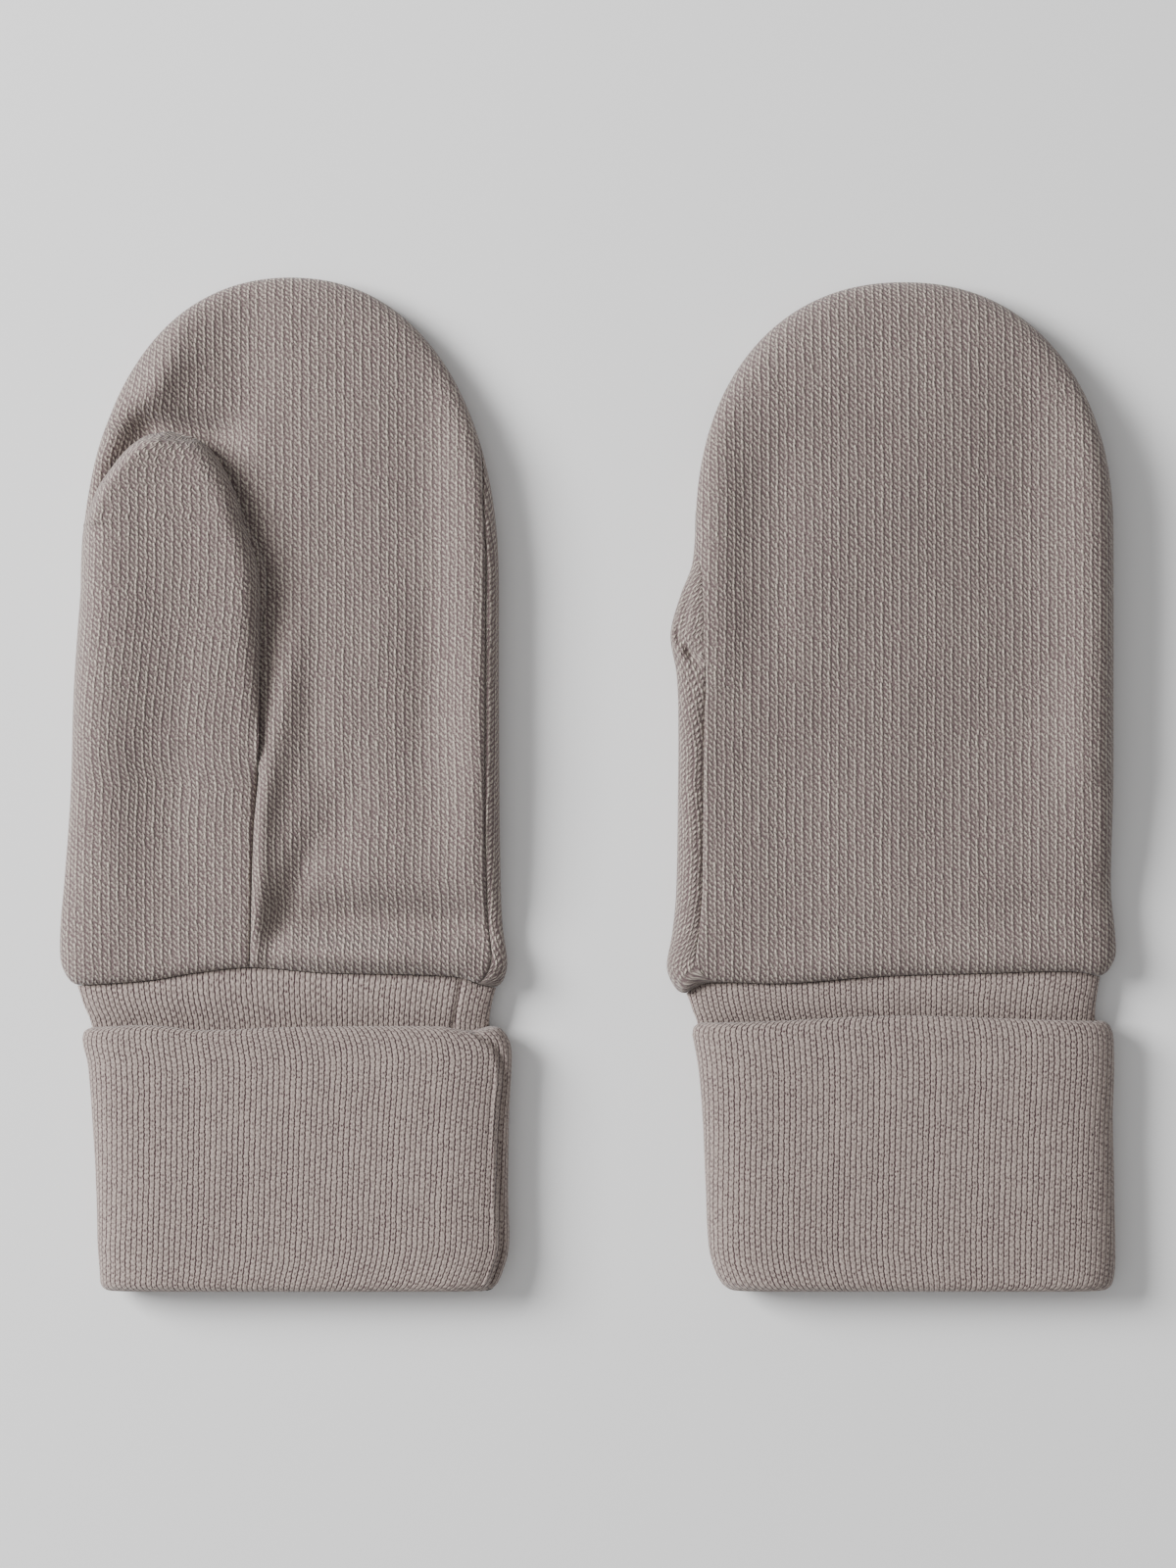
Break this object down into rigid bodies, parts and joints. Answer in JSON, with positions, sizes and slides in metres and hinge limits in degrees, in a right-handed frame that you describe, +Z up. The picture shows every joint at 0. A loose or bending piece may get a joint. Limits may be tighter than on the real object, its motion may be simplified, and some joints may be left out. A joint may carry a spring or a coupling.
{
  "type": "pair of baby mittens",
  "caption": "Pair of knitted baby mittens with thumbs and turned-up cuffs, laid flat side by side, one palm up and one palm down.",
  "frame": {"origin": "centre of the pair's bounding box, on the surface that it lies on", "axes": "+Y towards the fingertips, +X from the palm-up mitten to the palm-down one, +Z up"},
  "size_m": [0.1778, 0.1707, 0.0126],
  "materials": {
    "hand_knit": "matt plain knit in soft taupe yarn, two-legged stitches 1.5 mm wide",
    "cuff_knit": "matt fine knit in the same taupe yarn, stitches 1 mm wide with grooves between"
  },
  "bodies": {
    "root": {"left_back_panel": "hand_knit", "left_palm_panel": "hand_knit", "left_thumb_panel": "hand_knit", "left_thumb_inner": "hand_knit", "left_cuff": "cuff_knit", "right_back_panel": "hand_knit", "right_palm_panel": "hand_knit", "right_thumb_panel": "hand_knit", "right_thumb_inner": "hand_knit", "right_cuff": "cuff_knit"}
  },
  "joints": []
}
